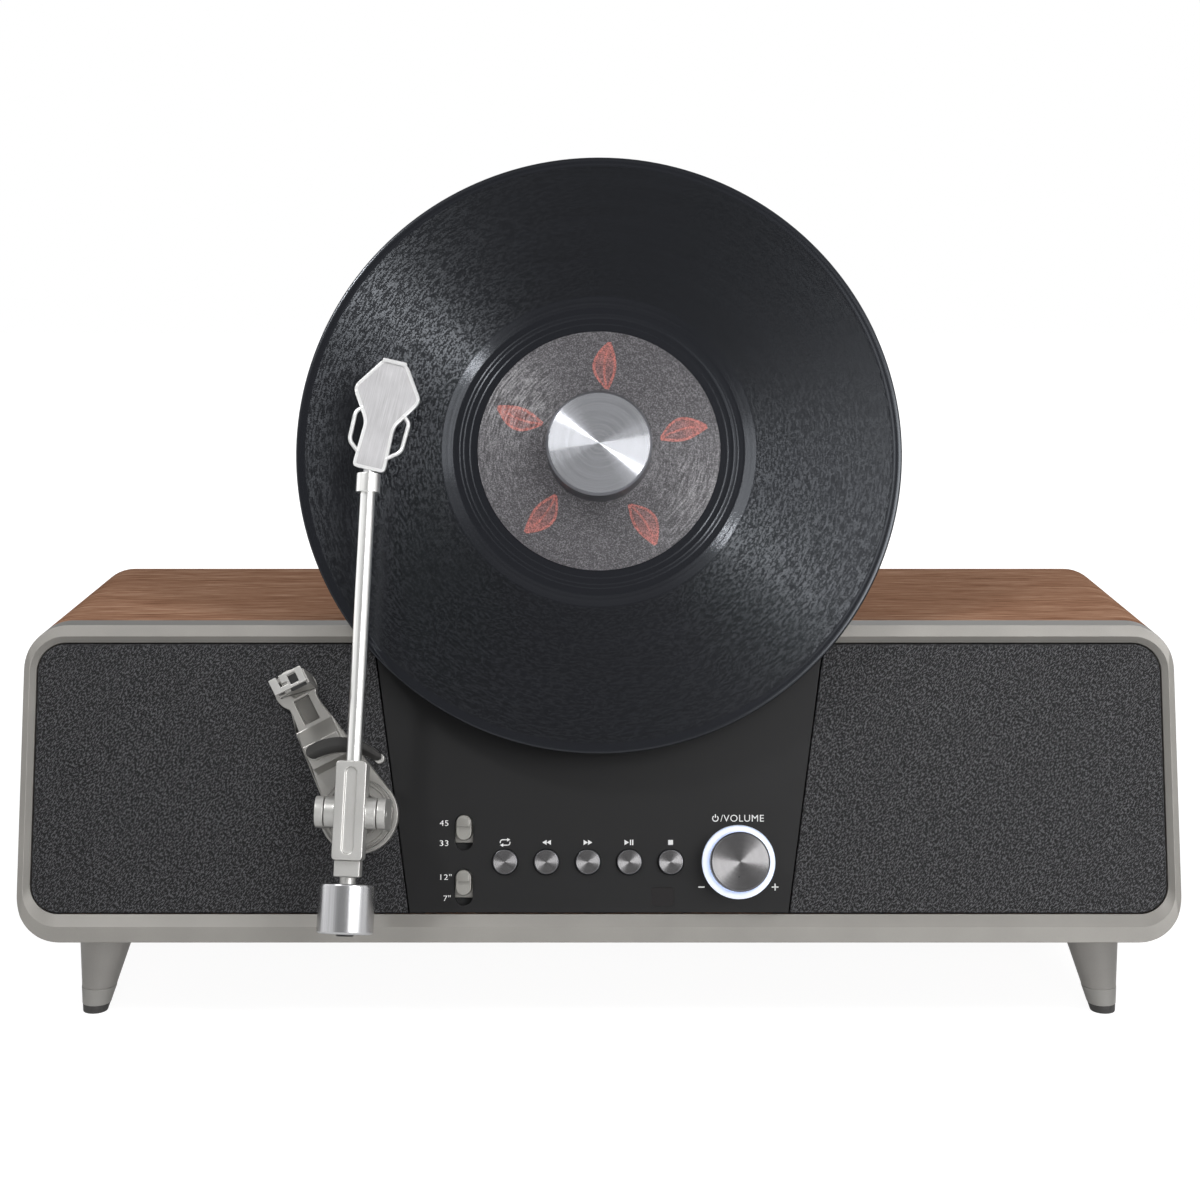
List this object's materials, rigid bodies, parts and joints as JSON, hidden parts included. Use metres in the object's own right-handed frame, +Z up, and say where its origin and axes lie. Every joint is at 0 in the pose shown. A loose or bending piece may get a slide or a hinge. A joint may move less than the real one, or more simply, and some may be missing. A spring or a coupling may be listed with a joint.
{
  "type": "vertical record player",
  "caption": "Record player with an upright leaning record, a straight tonearm, speaker grilles, a front control panel and a wood cabinet on splayed legs.",
  "frame": {"origin": "centre of the bounding box, on the floor that the leg tips stand on", "axes": "+X to the right as seen from the front, +Y to the back, +Z up; the front faces -Y"},
  "size_m": [0.477, 0.2148, 0.3511],
  "materials": {
    "wood": "satin oiled walnut with its grain along the width",
    "frame_grey": "warm silver-grey satin",
    "grille": "charcoal crinkled cloth skin",
    "baffle": "black-stained board",
    "panel": "matt near-black",
    "arm_grey": "satin silver-grey",
    "steel": "brushed",
    "bright": "brushed and polished",
    "vinyl": "gloss black with fine grooves",
    "label": "matt printed paper",
    "rubber": "matt",
    "cone": "coated paper",
    "light": "clear light guide, lit cool white",
    "board": "green circuit board",
    "brass": "plated"
  },
  "bodies": {
    "cabinet": {"cabinet_wrap": "wood", "front_bezel": "frame_grey", "rear_panel": "panel", "rear_panel_screws": "steel", "baffle_left": "baffle", "baffle_right": "baffle", "grille_left": "grille", "grille_right": "grille", "speaker_frame_left": "steel", "speaker_frame_right": "steel", "speaker_cone_left": "cone", "speaker_cone_right": "cone", "control_panel": "panel", "back_board": "baffle", "back_board_cover": "panel", "bearing_housing": "brass", "drive_motor": "steel", "drive_belt": "rubber", "tonearm_base": "arm_grey", "rest_clip_pin": "steel", "volume_encoder": "board", "light_ring": "light", "remote_window": "panel", "control_board": "board", "main_board": "board", "power_inlet": "panel", "aux_socket": "panel", "line_sockets": "brass", "legs": "frame_grey", "leg_bands": "bright", "leg_tips": "rubber"},
    "platter": {"spindle": "steel", "platter": "bright", "platter_mat": "rubber", "record": "vinyl", "record_label": "label"},
    "pulley": {"motor_pulley": "brass"},
    "clamp": {"record_clamp": "bright"},
    "arm_swing": {"arm_yoke": "arm_grey", "gimbal_pin": "steel"},
    "arm": {"arm_block": "arm_grey", "arm_tube": "bright", "headshell_collar": "bright", "headshell": "bright", "cartridge": "panel", "stylus": "rubber", "arm_stub": "bright"},
    "balance_weight": {"counterweight": "steel"},
    "lifter": {"cue_lifter": "arm_grey", "cue_pad": "rubber"},
    "clip": {"rest_clip": "arm_grey"},
    "repeat_key": {"button_repeat": "bright"},
    "back_key": {"button_back": "bright"},
    "play_key": {"button_play": "bright"},
    "forward_key": {"button_forward": "bright"},
    "stop_key": {"button_stop": "bright"},
    "volume_push": {"volume_shaft": "steel"},
    "volume": {"volume_knob": "bright"},
    "speed_switch": {"speed_slider": "arm_grey"},
    "size_switch": {"size_slider": "arm_grey"}
  },
  "joints": [
    {"name": "platter_spin", "type": "hinge", "parent": "cabinet", "child": "platter", "pos_m": [0, -0.00363, 0.22669], "axis": [0, -0.9511, 0.309], "continuous": true},
    {"name": "pulley_spin", "type": "hinge", "parent": "cabinet", "child": "pulley", "pos_m": [0.0415, -0.02584, 0.15832], "axis": [0, -0.9511, 0.309], "continuous": true},
    {"name": "clamp_off", "type": "slide", "parent": "platter", "child": "clamp", "axis": [0, -0.9511, 0.309], "range_m": [0, 0.03]},
    {"name": "arm_swing_turn", "type": "hinge", "parent": "cabinet", "child": "arm_swing", "pos_m": [-0.0983, -0.04973, 0.08479], "axis": [0, -0.9511, 0.309], "range_deg": [-12, 26.04]},
    {"name": "arm_lift", "type": "hinge", "parent": "arm_swing", "child": "arm", "pos_m": [-0.0983, -0.08207, 0.0953], "axis": [0.9993, -0.0119, -0.0365], "range_deg": [0, 11.5]},
    {"name": "weight_slide", "type": "slide", "parent": "arm", "child": "balance_weight", "axis": [0.0384, 0.3088, 0.9504], "range_m": [-0.006, 0.0022]},
    {"name": "cue_slide", "type": "slide", "parent": "cabinet", "child": "lifter", "axis": [0, -0.9511, 0.309], "range_m": [0, 0.005]},
    {"name": "clip_hinge", "type": "hinge", "parent": "cabinet", "child": "clip", "pos_m": [-0.12868, -0.0576, 0.13939], "axis": [-0.4555, 0.2751, 0.8466], "range_deg": [-75, 0]},
    {"name": "repeat_press", "type": "slide", "parent": "cabinet", "child": "repeat_key", "axis": [0, -0.9511, 0.309], "range_m": [-0.0012, 0], "stiffness_N_per_m": 300},
    {"name": "back_press", "type": "slide", "parent": "cabinet", "child": "back_key", "axis": [0, -0.9511, 0.309], "range_m": [-0.0012, 0], "stiffness_N_per_m": 300},
    {"name": "play_press", "type": "slide", "parent": "cabinet", "child": "play_key", "axis": [0, -0.9511, 0.309], "range_m": [-0.0012, 0], "stiffness_N_per_m": 300},
    {"name": "forward_press", "type": "slide", "parent": "cabinet", "child": "forward_key", "axis": [0, -0.9511, 0.309], "range_m": [-0.0012, 0], "stiffness_N_per_m": 300},
    {"name": "stop_press", "type": "slide", "parent": "cabinet", "child": "stop_key", "axis": [0, -0.9511, 0.309], "range_m": [-0.0012, 0], "stiffness_N_per_m": 300},
    {"name": "volume_press", "type": "slide", "parent": "cabinet", "child": "volume_push", "axis": [0, -0.9511, 0.309], "range_m": [-0.001, 0], "stiffness_N_per_m": 800},
    {"name": "volume_turn", "type": "hinge", "parent": "volume_push", "child": "volume", "pos_m": [0.0573, -0.05566, 0.06653], "axis": [0, -0.9511, 0.309], "continuous": true},
    {"name": "speed_slide", "type": "slide", "parent": "cabinet", "child": "speed_switch", "axis": [0, 0.309, 0.9511], "range_m": [-0.0038, 0]},
    {"name": "size_slide", "type": "slide", "parent": "cabinet", "child": "size_switch", "axis": [0, 0.309, 0.9511], "range_m": [-0.0038, 0]}
  ],
  "couplings": [
    {"joint": "pulley_spin", "follows": "platter_spin", "ratio": 11.667},
    {"joint": "cue_slide", "follows": "arm_lift", "m_per_rad": 0.024911}
  ]
}
